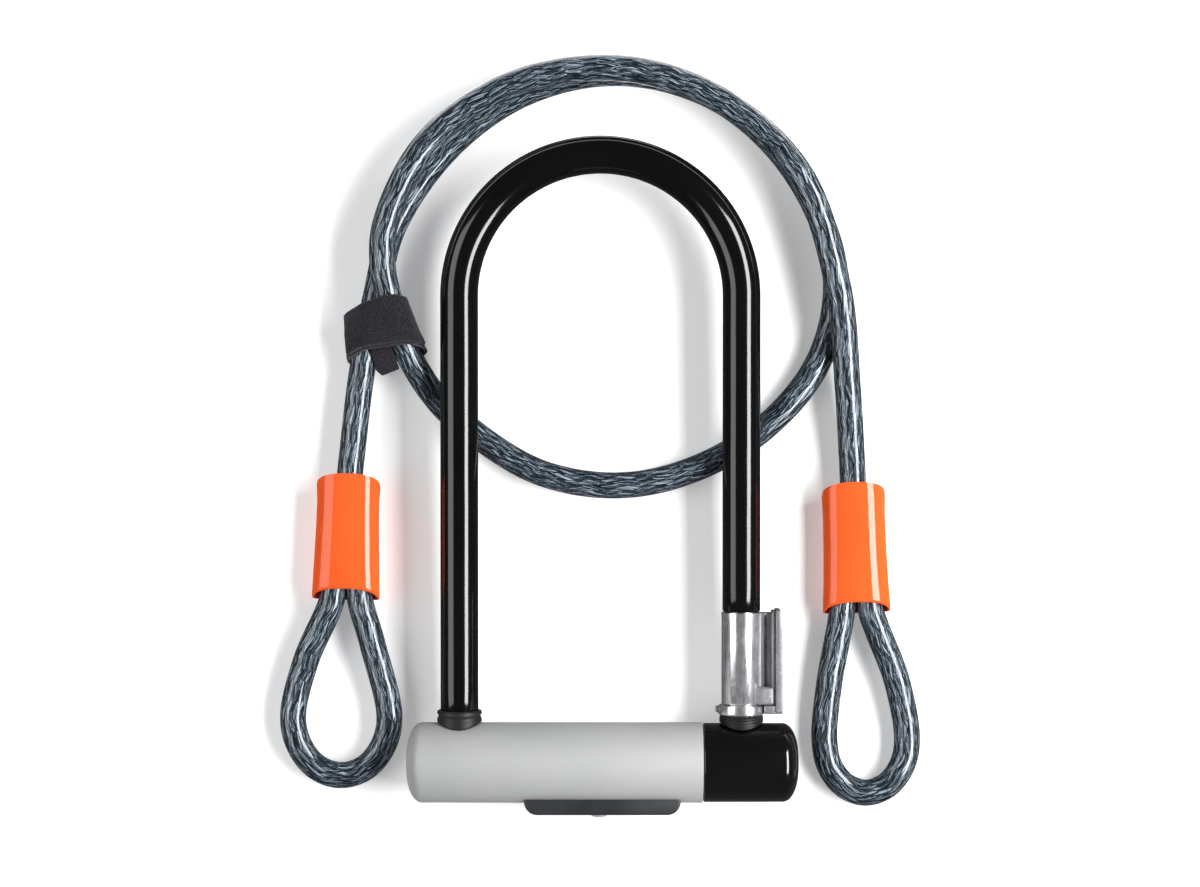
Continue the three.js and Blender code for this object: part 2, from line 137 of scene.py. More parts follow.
def lock_frame():
    slide = next(j for j in frame["joints"] if j["name"] == "crossbar_slide")
    tilt = math.atan2(-slide["axis"][2], -slide["axis"][1])
    origin = (middle("shackle_sleeve", 0), middle("crossbar_jacket", 1), middle("crossbar_jacket", 2))
    return Matrix.Translation(origin) @ Matrix.Rotation(tilt, 4, "X")


LOCK = lock_frame()


# ---- camera and light ----
CAMERA_HEIGHT = 1.2
VIEW_CENTRE = Vector((-0.001, 0.014, 0.017))
VIEW_WIDTH = 0.501
LIGHT_DISTANCE = 1.25


def make_camera():
    data = bpy.data.cameras.new("camera")
    data.sensor_width = 36
    data.lens = data.sensor_width * (CAMERA_HEIGHT - VIEW_CENTRE.z) / VIEW_WIDTH
    data.clip_start = 0.01
    camera = bpy.data.objects.new("camera", data)
    camera.location = (VIEW_CENTRE.x, VIEW_CENTRE.y, CAMERA_HEIGHT)
    bpy.context.collection.objects.link(camera)
    bpy.context.scene.camera = camera


def softbox(name, tilt, length, width, radiance):
    """A strip light along the lock, tilt degrees to the right of straight up."""
    data = bpy.data.lights.new(name, "AREA")
    data.shape = "RECTANGLE"
    data.size, data.size_y = length, width
    data.energy = radiance * math.pi * length * width
    lamp = bpy.data.objects.new(name, data)
    direction = Vector((math.sin(math.radians(tilt)), 0, math.cos(math.radians(tilt))))
    lamp.location = VIEW_CENTRE + direction * LIGHT_DISTANCE
    lamp.rotation_euler = direction.to_track_quat("Z", "Y").to_euler()
    bpy.context.collection.objects.link(lamp)


def make_lights():
    """Two strips, a dim world that fills the shadows, and a pale backdrop that only the camera sees."""
    softbox("key_strip", tilt=45, length=1.3, width=0.45, radiance=18)
    softbox("left_strip", tilt=-53, length=1.3, width=0.75, radiance=3.2)
    world = bpy.data.worlds.new("studio")
    world.use_nodes = True
    tree = world.node_tree
    dim = tree.nodes["Background"]
    dim.inputs["Color"].default_value = (0.9, 0.93, 1.0, 1)
    dim.inputs["Strength"].default_value = 0.1
    backdrop = tree.nodes.new("ShaderNodeBackground")
    backdrop.inputs["Color"].default_value = (0.93, 0.93, 0.93, 1)
    seen = tree.nodes.new("ShaderNodeLightPath").outputs["Is Camera Ray"]
    choose = tree.nodes.new("ShaderNodeMixShader")
    tree.links.new(seen, choose.inputs[0])
    tree.links.new(dim.outputs[0], choose.inputs[1])
    tree.links.new(backdrop.outputs[0], choose.inputs[2])
    tree.links.new(choose.outputs[0], tree.nodes["World Output"].inputs["Surface"])
    bpy.context.scene.world = world
    bpy.context.scene.view_settings.view_transform = "Standard"


# ---- shader helpers ----
class Shader:
    """A principled material and short calls for the nodes that feed it."""

    def __init__(self, name, **constants):
        self.material = bpy.data.materials.new(name)
        self.material.use_nodes = True
        self.tree = self.material.node_tree
        self.bsdf = self.tree.nodes["Principled BSDF"]
        for socket, value in constants.items():
            self.feed(self.bsdf.inputs[socket.replace("_", " ")], value)

    def feed(self, socket, value):
        if isinstance(value, bpy.types.NodeSocket):
            self.tree.links.new(value, socket)
        elif isinstance(value, tuple) and len(value) == 3 and socket.type == "RGBA":
            socket.default_value = (*value, 1)
        else:
            socket.default_value = value

    def node(self, kind, settings=None, **inputs):
        made = self.tree.nodes.new(kind)
        for name, value in (settings or {}).items():
            setattr(made, name, value)
        for name, value in inputs.items():
            self.feed(made.inputs[name.replace("_", " ")], value)
        return made

    def math(self, operation, *values):
        made = self.tree.nodes.new("ShaderNodeMath")
        made.operation = operation
        for socket, value in zip(made.inputs, values):
            self.feed(socket, value)
        return made.outputs[0]

    def place(self, scale=(1, 1, 1)):
        """Object coordinates, in metres, stretched by scale."""
        source = self.node("ShaderNodeTexCoord").outputs["Object"]
        return self.node("ShaderNodeMapping", Vector=source, Scale=scale).outputs[0]

    def noise(self, scale, detail=2.0, roughness=0.5, vector=None):
        where = vector if vector is not None else self.place()
        made = self.node("ShaderNodeTexNoise", Vector=where, Scale=scale, Detail=detail, Roughness=roughness)
        return made.outputs["Fac"]

    def ramp(self, factor, *stops):
        made = self.node("ShaderNodeValToRGB", Fac=factor)
        elements = made.color_ramp.elements
        while len(elements) < len(stops):
            elements.new(0.5)
        for element, (position, colour) in zip(elements, stops):
            element.position = position
            element.color = (*colour, 1)
        return made.outputs["Color"]

    def between(self, factor, low, high):
        """low to high as factor goes from 0 to 1."""
        return self.node("ShaderNodeMapRange", Value=factor, To_Min=low, To_Max=high).outputs[0]

    def mix(self, factor, first, second):
        made = self.tree.nodes.new("ShaderNodeMix")
        made.data_type = "RGBA"
        self.feed(made.inputs[0], factor)
        self.feed(made.inputs[6], first)
        self.feed(made.inputs[7], second)
        return made.outputs[2]

    def bump(self, height, distance, strength=1.0, below=None):
        made = self.node("ShaderNodeBump", Height=height, Distance=distance, Strength=strength)
        if below is not None:
            self.feed(made.inputs["Normal"], below)
        return made.outputs["Normal"]

    def surface(self, **inputs):
        for name, value in inputs.items():
            self.feed(self.bsdf.inputs[name.replace("_", " ")], value)
        return self.material


# ---- materials ----
def black_vinyl():
    s = Shader("black_vinyl", IOR=1.5)
    waves = s.noise(45, 1.0)
    grain = s.noise(900, 2.0)
    worn = s.noise(14, 4.0, 0.6)
    return s.surface(
        Base_Color=s.ramp(worn, (0.35, (0.0010, 0.0010, 0.0012)), (0.7, (0.0026, 0.0026, 0.0030))),
        Roughness=s.between(worn, 0.06, 0.16),
        Normal=s.bump(grain, 0.00001, 0.6, s.bump(waves, 0.0004, 0.5)),
    )


def silver_paint():
    s = Shader("silver_paint", Metallic=0.12, Specular_IOR_Level=0.35)
    flakes = s.noise(5200, 2.0, 0.7)
    cloud = s.noise(22, 3.0)
    tone = s.mix(0.35, s.ramp(cloud, (0.3, (0.35, 0.355, 0.355)), (0.7, (0.41, 0.415, 0.41))),
                 s.ramp(flakes, (0.35, (0.29, 0.295, 0.29)), (0.65, (0.50, 0.505, 0.50))))
    return s.surface(
        Base_Color=tone,
        Roughness=s.between(flakes, 0.42, 0.56),
        Normal=s.bump(s.noise(1800, 3.0), 0.00002, 0.5),
    )


def gloss_black():
    s = Shader("gloss_black", IOR=1.5, Coat_Weight=0.4, Coat_Roughness=0.04)
    fine = s.noise(30, 3.0)
    return s.surface(
        Base_Color=s.ramp(fine, (0.3, (0.0012, 0.0012, 0.0012)), (0.7, (0.003, 0.003, 0.0032))),
        Roughness=s.between(s.noise(60, 5.0, 0.7), 0.1, 0.22),
        Normal=s.bump(s.noise(1500, 2.0), 0.00001, 0.5, s.bump(s.noise(60, 2.0), 0.0003, 0.4)),
    )


def black_rubber():
    s = Shader("black_rubber", Sheen_Weight=0.05, Sheen_Roughness=0.5, Specular_IOR_Level=0.35)
    grain = s.noise(2600, 4.0, 0.65)
    return s.surface(
        Base_Color=s.ramp(s.noise(60, 4.0), (0.3, (0.004, 0.004, 0.0045)), (0.7, (0.010, 0.010, 0.011))),
        Roughness=s.between(grain, 0.38, 0.6),
        Normal=s.bump(grain, 0.00006, 0.7),
    )


def bright_clip():
    """Polished plate with broad bands that are partly drawn streaks and partly painted reflection, long fine
    scratches and a few dull patches.
    """
    s = Shader("bright_clip", Metallic=0.88)
    # Painted reflection: broad light and dark bands drawn out along the collar stand in for reflected lamp
    # streaks, over a real drawn finish.
    drawn_and_reflection_bands = s.noise(300, 2.0, 0.6, s.place((1, 0.04, 1)))
    scratch = s.noise(900, 3.0, 0.8, s.place((1, 0.07, 1)))
    patch = s.noise(260, 5.0, 0.7, s.place((1, 0.6, 1)))
    tone = s.mix(0.4, s.mix(0.4, drawn_and_reflection_bands, scratch), patch)
    return s.surface(
        Base_Color=s.ramp(tone, (0.32, (0.30, 0.30, 0.32)), (0.45, (0.62, 0.62, 0.635)),
                          (0.56, (0.88, 0.88, 0.89)), (0.7, (0.96, 0.96, 0.96))),
        Roughness=s.between(s.mix(0.5, scratch, patch), 0.1, 0.34),
        Normal=s.bump(patch, 0.00003, 0.4, s.bump(scratch, 0.000008, 0.5)),
    )


def cast_clip():
    """The clip's dull, pitted wing."""
    s = Shader("cast_clip", Metallic=0.55)
    drawn = s.noise(420, 3.0, 0.7, s.place((1, 0.12, 1)))
    pits = s.noise(1100, 4.0, 0.75)
    return s.surface(
        Base_Color=s.ramp(s.mix(0.5, drawn, pits), (0.3, (0.12, 0.12, 0.125)), (0.5, (0.25, 0.25, 0.26)),
                          (0.7, (0.50, 0.50, 0.51))),
        Roughness=s.between(pits, 0.34, 0.6),
        Normal=s.bump(pits, 0.00008, 0.6, s.bump(drawn, 0.00005, 0.5)),
    )


def nickel():
    s = Shader("nickel", Metallic=0.35)
    brushed = s.noise(900, 3.0, 0.7, s.place((1, 1, 0.15)))
    return s.surface(
        Base_Color=s.ramp(brushed, (0.3, (0.55, 0.55, 0.56)), (0.7, (0.80, 0.80, 0.81))),
        Roughness=s.between(brushed, 0.2, 0.4),
        Normal=s.bump(brushed, 0.00002, 0.5),
    )


def machined(name, dark, light, roughness=0.3):
    s = Shader(name, Metallic=1.0)
    turning = s.noise(90, 4.0, 0.7, s.place((1, 30, 1)))
    spots = s.noise(220, 4.0, 0.6)
    return s.surface(
        Base_Color=s.ramp(s.mix(0.5, turning, spots), (0.3, dark), (0.7, light)),
        Roughness=s.between(turning, roughness - 0.08, roughness + 0.12),
        Normal=s.bump(turning, 0.00002, 0.6),
    )


def moulded_plastic():
    s = Shader("moulded_plastic", IOR=1.46)
    grain = s.noise(2400, 3.0, 0.6)
    return s.surface(
        Base_Color=s.ramp(s.noise(40, 4.0), (0.3, (0.014, 0.015, 0.016)), (0.7, (0.027, 0.028, 0.030))),
        Roughness=s.between(grain, 0.32, 0.5),
        Normal=s.bump(grain, 0.00003, 0.6),
    )


def orange_plastic():
    s = Shader("orange_plastic", Specular_IOR_Level=0.0, Coat_Weight=0.75, Coat_Roughness=0.03,
               Subsurface_Weight=0.08, Subsurface_Radius=(0.003, 0.001, 0.0004), Subsurface_Scale=0.5)
    flow = s.noise(26, 3.0, 0.6, s.place((1, 0.35, 1)))
    return s.surface(
        Base_Color=s.ramp(flow, (0.25, (0.74, 0.082, 0.014)), (0.75, (0.84, 0.112, 0.022))),
        Roughness=s.between(s.noise(50, 5.0, 0.7), 0.3, 0.4),
        Normal=s.bump(s.noise(70, 2.0), 0.00018, 0.4),
    )


def braided_cable():
    """Steel strands braided both ways under a clear skin, coloured with painted light and shade: bright along
    each strand's crown, near black at its edges. U runs round the cable, V along it in metres.
    """
    s = Shader("braided_cable", Metallic=0.2, Specular_IOR_Level=0.15, Coat_Weight=1.0, Coat_Roughness=0.03)
    uv = s.node("ShaderNodeSeparateXYZ", Vector=s.node("ShaderNodeUVMap", {"uv_map": "route"}).outputs[0])
    around = s.math("MULTIPLY", uv.outputs["X"], STRANDS)
    along = s.math("DIVIDE", uv.outputs["Y"], STRAND_LAY)
    wobble = s.math("MULTIPLY", s.math("SUBTRACT", s.noise(160, 2.0), 0.5), 0.5)
    along = s.math("ADD", along, wobble)
    left_hand = s.math("ADD", around, along)
    right_hand = s.math("SUBTRACT", around, along)

    def crown(across):
        """A strand's round back: 1 along its middle, 0 at its edges."""
        offset = s.math("SUBTRACT", s.math("MULTIPLY", s.math("FRACT", across), 2.0), 1.0)
        return s.math("SQRT", s.math("SUBTRACT", 1.0, s.math("MULTIPLY", offset, offset)))

    def fibres(across, lengthwise):
        """Single wires: noise drawn out along a strand."""
        where = s.node("ShaderNodeCombineXYZ", X=s.math("MULTIPLY", across, 8.0),
                       Y=lengthwise, Z=0.0).outputs[0]
        return s.noise(1.0, 3.0, 0.8, where)

    cell = s.math("ADD", s.math("FLOOR", left_hand), s.math("FLOOR", right_hand))
    over = s.math("MODULO", s.math("ABSOLUTE", cell), 2.0)
    under = s.math("SUBTRACT", 1.0, over)
    height = s.math("ADD", s.math("MULTIPLY", crown(left_hand), over),
                    s.math("MULTIPLY", crown(right_hand), under))
    wires = s.math("ADD", s.math("MULTIPLY", fibres(left_hand, along), over),
                   s.math("MULTIPLY", fibres(right_hand, along), under))
    # Painted light and shade: each strand is coloured bright along its crown and near black at its edges,
    # with fine wire streaks over it.
    painted_strand_light = s.math("MULTIPLY", s.math("POWER", height, 0.8), s.between(wires, -1.5, 2.8))
    return s.surface(
        Base_Color=s.ramp(painted_strand_light, (0.22, (0.001, 0.002, 0.003)), (0.52, (0.007, 0.013, 0.020)),
                          (0.78, (0.066, 0.093, 0.122)), (1.0, (0.44, 0.52, 0.60))),
        Roughness=s.between(wires, 0.5, 0.35),
        Normal=s.bump(s.math("ADD", height, s.math("MULTIPLY", wires, 0.5)), 0.0002, 0.6),
    )


def hook_and_loop():
    """Black tape with a pile of tiny loops."""
    s = Shader("hook_and_loop", Roughness=0.92, Sheen_Weight=0.5, Sheen_Roughness=0.4,
               Sheen_Tint=(0.55, 0.5, 0.6, 1), IOR=1.4, Specular_IOR_Level=0.2)
    loops = s.node("ShaderNodeTexVoronoi", Vector=s.place(), Scale=1500.0).outputs["Distance"]
    pile = s.noise(900, 4.0, 0.75)
    tone = s.mix(0.5, loops, pile)
    return s.surface(
        Base_Color=s.ramp(tone, (0.25, (0.004, 0.004, 0.005)), (0.75, (0.030, 0.028, 0.034))),
        Normal=s.bump(loops, 0.00035, 0.8, s.bump(pile, 0.0003, 0.7)),
    )


def studio_floor():
    """Plain and pale. It glows more far from the object, where the lamps no longer reach."""
    s = Shader("studio_floor", Roughness=0.9, Specular_IOR_Level=0.1, Emission_Color=(1.0, 1.0, 1.0))
    reach = s.node("ShaderNodeVectorMath", {"operation": "LENGTH"}, Vector=s.place()).outputs["Value"]
    glow = s.node("ShaderNodeMapRange", Value=reach, From_Min=0.6, From_Max=2.4, To_Min=0.3, To_Max=0.95)
    return s.surface(
        Base_Color=s.ramp(s.noise(3, 3.0), (0.3, (0.86, 0.86, 0.86)), (0.7, (0.88, 0.88, 0.88))),
        Emission_Strength=glow.outputs["Result"],
    )


# ---- mesh helpers ----
def link_piece(name, bm, material, body, nodes=(), place=Matrix(), sharp=35):
    """A finished piece: smoothed up to the sharp angle, riding on a body and standing for CAD nodes."""
    bmesh.ops.remove_doubles(bm, verts=bm.verts, dist=2e-6)
    bmesh.ops.recalc_face_normals(bm, faces=bm.faces)
    mesh = bpy.data.meshes.new(name)
    bm.to_mesh(mesh)
    bm.free()
    mesh.transform(place)
    mesh.shade_smooth()
    mesh.set_sharp_from_angle(angle=math.radians(sharp))
    mesh.materials.append(material)
    piece = bpy.data.objects.new(name, mesh)
    bpy.context.collection.objects.link(piece)
    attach(piece, body)
    if nodes:
        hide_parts(*nodes)
    return piece


def skin(rings, closed=False, lengths=None):
    """A bmesh through rings of equally many points, its ends capped, or joined when it is closed.

    lengths, one per ring, give it a map whose V is the length and whose U goes from 0 to 1 round a ring.
    """
    bm = bmesh.new()
    count = len(rings[0])
    rows = [[bm.verts.new(point) for point in ring] for ring in rings]
    layer = bm.loops.layers.uv.new("route") if lengths else None
    spans = len(rows) if closed else len(rows) - 1
    for i in range(spans):
        first, second = rows[i], rows[(i + 1) % len(rows)]
        for j in range(count):
            k = (j + 1) % count
            face = bm.faces.new((first[j], first[k], second[k], second[j]))
            if layer:
                corners = ((j, i), (j + 1, i), (j + 1, i + 1), (j, i + 1))
                for loop, (a, b) in zip(face.loops, corners):
                    loop[layer].uv = (a / count, lengths[b])
    if not closed:
        bm.faces.new(rows[0])
        bm.faces.new(rows[-1])
    return bm


def lathe(profile, axis, segments=96, closed=True):
    """(radius, station) pairs turned round the X or Y axis of the lock's frame."""
    rings = []
    for radius, station in profile:
        ring = []
        for i in range(segments):
            angle = math.tau * i / segments
            a, b = radius * math.cos(angle), radius * math.sin(angle)
            ring.append((station, a, b) if axis == "X" else (b, station, a))
        rings.append(ring)
    return skin(rings, closed)


def bevelled(bm, width, segments=3, angle=30):
    """Rounds every edge of a bmesh that is sharper than angle."""
    bmesh.ops.remove_doubles(bm, verts=bm.verts, dist=1e-7)
    bmesh.ops.recalc_face_normals(bm, faces=bm.faces)
    limit = math.radians(angle)
    edges = [e for e in bm.edges if len(e.link_faces) == 2 and e.calc_face_angle(0) > limit]
    bmesh.ops.bevel(bm, geom=edges, offset=width, segments=segments, profile=0.5, affect="EDGES",
                    clamp_overlap=True)
    return bm


def block(x, y, z, width=0.0004):
    rings = [[(x[0], y[0], h), (x[1], y[0], h), (x[1], y[1], h), (x[0], y[1], h)] for h in z]
    return bevelled(skin(rings), width)


def prism(outline, low, high, width=0.0004):
    """An outline in x and y, raised from low to high in z, with rounded edges."""
    return bevelled(skin([[(x, y, h) for x, y in outline] for h in (low, high)]), width)


def arc(cx, cy, radius, start, end, steps=8):
    angles = (math.radians(start + (end - start) * i / steps) for i in range(steps + 1))
    return [(cx + radius * math.cos(a), cy + radius * math.sin(a)) for a in angles]


def cutter(bm, place=Matrix()):
    mesh = bpy.data.meshes.new("cutter")
    bmesh.ops.remove_doubles(bm, verts=bm.verts, dist=1e-7)
    bmesh.ops.recalc_face_normals(bm, faces=bm.faces)
    bm.to_mesh(mesh)
    bm.free()
    mesh.transform(place)
    tool = bpy.data.objects.new("cutter", mesh)
    bpy.context.collection.objects.link(tool)
    return tool


def carve(piece, *cutters, sharp=35):
    """Cuts solids out of a piece for good."""
    for tool in cutters:
        modifier = piece.modifiers.new("cut", "BOOLEAN")
        modifier.operation = "DIFFERENCE"
        modifier.solver = "EXACT"
        modifier.object = tool
    bpy.context.view_layer.update()
    result = piece.evaluated_get(bpy.context.evaluated_depsgraph_get())
    mesh = bpy.data.meshes.new_from_object(result)
    piece.modifiers.clear()
    piece.data = mesh
    mesh.shade_smooth()
    mesh.set_sharp_from_angle(angle=math.radians(sharp))
    for tool in cutters:
        bpy.data.objects.remove(tool)


def rod_cutter(radius, low, high, axis, offset=(0, 0, 0)):
    bm = lathe([(0, low), (radius, low), (radius, high), (0, high)], axis, 64, closed=False)
    return cutter(bm, LOCK @ Matrix.Translation(offset))


# ---- shackle ----
def shackle_path(left_y, right_y, spans=96):
    """Points and unit tangents from the left leg, round the bend, to the right leg, in the lock's frame."""
    leg_spans = 12
    shares = [i / leg_spans for i in range(leg_spans + 1)]
    stations = [(Vector((-LEG_X, left_y + (BEND_Y - left_y) * share, 0)), Vector((0, 1, 0)))
                for share in shares[:-1]]
    for i in range(spans + 1):
        angle = math.pi * (1 - i / spans)
        out = Vector((math.cos(angle), math.sin(angle), 0))
        stations.append((Vector((0, BEND_Y, 0)) + LEG_X * out, Vector((out.y, -out.x, 0))))
    stations += [(Vector((LEG_X, BEND_Y + (right_y - BEND_Y) * share, 0)), Vector((0, -1, 0)))
                 for share in shares[1:]]
    return stations


def shackle_ring(station, radius, shift=0.0, count=48):
    point, tangent = station
    side = Vector((tangent.y, -tangent.x, 0))
    up = Vector((0, 0, 1))
    centre = point + tangent * shift
    angles = [math.tau * i / count for i in range(count)]
    return [centre + radius * (side * math.cos(angle) + up * math.sin(angle)) for angle in angles]


def make_sleeve(material):
    """The vinyl tube over the bar, with rounded lips at both ends."""
    path = shackle_path(LEFT_SLEEVE_Y, RIGHT_SLEEVE_Y)
    inner = [shackle_ring(station, SLEEVE_BORE_R) for station in path]
    outer = [shackle_ring(station, SLEEVE_R) for station in path[1:-1]]
    lip = [(SLEEVE_BORE_R + 0.0004, 0), (SLEEVE_R - 0.0003, SLEEVE_LIP * 0.3), (SLEEVE_R, SLEEVE_LIP)]
    start = [shackle_ring(path[0], radius, shift) for radius, shift in lip]
    end = [shackle_ring(path[-1], radius, -shift) for radius, shift in lip[::-1]]
    rings = start + outer + end + inner[::-1]
    link_piece("shackle_vinyl", skin(rings, closed=True), material, "shackle",
               ["shackle_sleeve"], LOCK, 60)


def make_bar(material):
    """The bent rod, with a notch for a bolt in the inner side of each foot."""
    path = shackle_path(FOOT_Y, FOOT_Y)
    foot = [(FOOT_FACE_R, 0), (BAR_R - BAR_CHAMFER, 0.0002), (BAR_R, BAR_CHAMFER)]
    rings = [shackle_ring(path[0], radius, shift) for radius, shift in foot]
    rings += [shackle_ring(station, BAR_R) for station in path[1:-1]]
    rings += [shackle_ring(path[-1], radius, -shift) for radius, shift in foot[::-1]]
    bar = link_piece("shackle_rod", skin(rings), material, "shackle", ["shackle_bar"], LOCK)
    notches = []
    for side in (-1, 1):
        width = sorted(side * x for x in NOTCH_X)
        notches.append(cutter(block(width, NOTCH_Y, NOTCH_Z, 0.0007), LOCK))
    carve(bar, *notches)


# ---- crossbar ----
def dome(end_x, open_x, radius, steps=12):
    """The profile of a domed end, from its flat centre out to the full radius."""
    inward = 1 if open_x > end_x else -1
    profile = [(0, end_x)]
    for i in range(steps + 1):
        angle = 0.5 * math.pi * i / steps
        r = END_FLAT_R + (radius - END_FLAT_R) * math.sin(angle)
        profile.append((r, end_x + inward * END_DOME * (1 - math.cos(angle))))
    return profile


def jacket(end_x, open_x, radius, edge, steps=4):
    """A domed end, the outside, a rounded open edge, the bore and the bore's end."""
    inward = 1 if open_x > end_x else -1
    profile = dome(end_x, open_x, radius)
    for i in range(steps + 1):
        angle = 0.5 * math.pi * i / steps
        station = open_x - inward * edge * (1 - math.sin(angle))
        profile.append((radius - edge * (1 - math.cos(angle)), station))
    bore_end = math.copysign(JACKET_BORE_X, end_x)
    profile += [(JACKET_BORE_R, open_x), (JACKET_BORE_R, bore_end), (0, bore_end)]
    return lathe(profile, "X", JACKET_SIDES, closed=False)


def key_hole():
    """The cutter for the keyway's opening, on the side away from the shackle."""
    return rod_cutter(KEY_HOLE_R, -0.03, 0, "Y")


def leg_hole(side):
    """The cutter for the opening that a leg of the shackle goes through."""
    return rod_cutter(LEG_HOLE_R, 0.002, 0.03, "Y", (side * LEG_X, 0, 0))


def make_jackets(grey, black):
    """The crossbar's two shells: the long grey one, and the short black one on the right."""
    left_shape = jacket(LEFT_END_X, SPLIT_X - SPLIT_GAP / 2, JACKET_R, 0.0003)
    left = link_piece("crossbar_skin", left_shape, grey, "crossbar",
                      ["crossbar_jacket"], LOCK)
    carve(left, leg_hole(-1), key_hole())
    right_shape = jacket(RIGHT_END_X, SPLIT_X + SPLIT_GAP / 2, JACKET_R - 0.0003, 0.0007)
    right = link_piece("end_skin", right_shape, black, "crossbar", ["end_jacket"], LOCK)
    carve(right, leg_hole(1))


def saddled(profile, side, top, segments=72):
    """Rings of a boot round a leg: (radius, share of the height) pairs, whose foot follows the crossbar."""
    rings = []
    for radius, share in profile:
        ring = []
        for i in range(segments):
            angle = math.tau * i / segments
            x, z = radius * math.cos(angle), radius * math.sin(angle)
            foot = math.sqrt((JACKET_R + 0.0003) ** 2 - z * z)
            ring.append((side * LEG_X + x, foot + (top - foot) * share, z))
        rings.append(ring)
    return rings


def make_bumpers(material):
    """The two rubber boots: the left one with a waist, the right one with three grooves."""
    left = [(BOOT_BORE_R, 0.0), (0.0091, 0.0), (0.0093, 0.06), (0.0093, 0.30), (0.0090, 0.40), (0.0088, 0.50),
            (0.0088, 0.62), (0.0092, 0.68), (0.0093, 0.76), (0.0093, 0.88), (0.0091, 0.96), (0.0086, 1.0),
            (0.0082, 0.99), (0.0082, 0.16), (BOOT_BORE_R, 0.15)]
    right = [(BOOT_BORE_R, 0.0), (0.0090, 0.0), (0.0092, 0.08)]
    for start in (0.12, 0.42, 0.70):
        right += [(0.0092, start), (0.0087, start + 0.06), (0.0087, start + 0.12), (0.0092, start + 0.18)]
    right += [(0.0090, 0.96), (0.0085, 1.0), (BOOT_BORE_R, 1.0)]
    for name, profile, side, top in (("left", left, -1, 0.022), ("right", right, 1, 0.0196)):
        boot = skin(saddled(profile, side, top), closed=True)
        link_piece(name + "_boot", boot, material, "crossbar", [name + "_bumper"], LOCK, 50)


def make_bezel(plastic, metal):
    """The keyway's surround, with the dust cover that slides in it and the cover's knob."""
    corner = 0.0055
    outline = [(-0.0317, -0.012)]
    outline += arc(-0.0262, -0.0154, corner, 185, 270)
    outline += arc(0.0278, -0.0154, corner, 270, 355)
    outline.append((0.0333, -0.012))
    bezel = link_piece("keyway_surround", prism(outline, -0.009, 0.009, 0.0009), plastic, "crossbar",
                       ["keyway_bezel"], LOCK)
    carve(
        bezel,
        rod_cutter(JACKET_R + 0.0003, -0.04, 0.04, "X"),
        key_hole(),
        cutter(block((-0.0094, 0.0234), (-0.0204, -0.0185), (-0.006, 0.006), 0.0003), LOCK),
        cutter(block((-0.0052, 0.0184), (-0.022, -0.0203), (-0.0044, 0.0044), 0.0003), LOCK),
    )
    plate = block((-0.009, 0.009), (-0.0201, -0.0189), (-0.0056, 0.0056), 0.0003)
    link_piece("shutter_plate", plate, plastic, "shutter", ["dust_cover"], LOCK)
    knob = [(0, -0.02275), (0.0022, -0.0227), (0.0030, -0.0224), (0.0036, -0.0219), (0.0038, -0.0214),
            (0.0038, -0.0206), (0.0036, -0.0204), (0, -0.0204)]
    link_piece("shutter_knob", lathe(knob, "Y", 48, closed=False), metal, "shutter",
               ["cover_knob"], LOCK @ Matrix.Translation((-0.0005, 0, 0)))


# ---- carrying clip ----
def make_clip(polished, cast, steel):
    at_leg = LOCK @ Matrix.Translation((LEG_X, 0, 0))
    make_clip_rings(polished, at_leg)
    make_clip_wing(cast, at_leg)
    screw = [(0, 0.0122), (0.0006, 0.0122), (0.0009, 0.0119), (0.0016, 0.0121), (0.0019, 0.0117),
             (0.0019, 0.0098), (0, 0.0098)]
    link_piece("clip_screw", lathe(screw, "X", 32, closed=False), steel, "clip", ["mount_screw"],
               at_leg @ Matrix.Translation((0, 0.0221, 0)))


def make_clip_rings(polished, at_leg):
    collar = [(0.0068, 0.0246), (0.0080, 0.0246), (0.00825, 0.0250), (0.00825, 0.0610), (0.0084, 0.0622),
              (0.0083, 0.0628), (0.0070, 0.0628), (0.0068, 0.0625)]
    link_piece("clip_collar", lathe(collar, "Y", 72), polished, "clip", ["mount_sleeve"],
               at_leg, 40)
    band = [(0.0068, 0.0199), (0.0088, 0.0199), (0.0095, 0.0204), (0.0097, 0.0212), (0.0097, 0.0232),
            (0.0094, 0.0240), (0.0088, 0.0243), (0.0068, 0.0243)]
    link_piece("clip_band", lathe(band, "Y", 72), polished, "clip", ["mount_band"], at_leg, 40)


def make_clip_wing(cast, at_leg):
    """The rail that a bracket holds, its flange, foot and stop, the channel to the collar and a small ear."""
    shapes = {
        "clip_rail": block((0.0126, 0.0144), (0.0246, 0.0636), (-0.0055, 0.0052), 0.0005),
        "clip_flange": prism([(0.0141, 0.0215), (0.0141, 0.0641), (0.0163, 0.0641), (0.0163, 0.0575),
                              (0.0168, 0.0562), (0.0170, 0.0215)], -0.0072, 0.0066, 0.0005),
        "clip_foot": block((0.0092, 0.0170), (0.0208, 0.0243), (-0.0062, 0.0058), 0.0005),
        "clip_stop": block((0.0058, 0.0132), (0.0246, 0.0320), (-0.0060, 0.0061), 0.0010),
    }
    for name, bm in shapes.items():
        link_piece(name, bm, cast, "clip", (), at_leg)
    channel = [(0.0070, 0.0040), (0.0080, 0.0038), (0.0086, 0.0020), (0.0094, 0.0008), (0.0104, 0.0003),
               (0.0114, 0.0008), (0.0121, 0.0020), (0.0125, 0.0042), (0.0132, 0.0042), (0.0132, -0.0040),
               (0.0070, -0.0040)]
    web = skin([[(x, y, z) for x, z in channel] for y in (0.0247, 0.0627)])
    link_piece("clip_web", bevelled(web, 0.0003, 2, 50), cast, "clip", (), at_leg, 50)
    ear = block((-0.0107, -0.0088), (0.0211, 0.0236), (-0.0022, 0.0022), 0.0005)
    link_piece("clip_ear", ear, cast, "clip", (), at_leg)


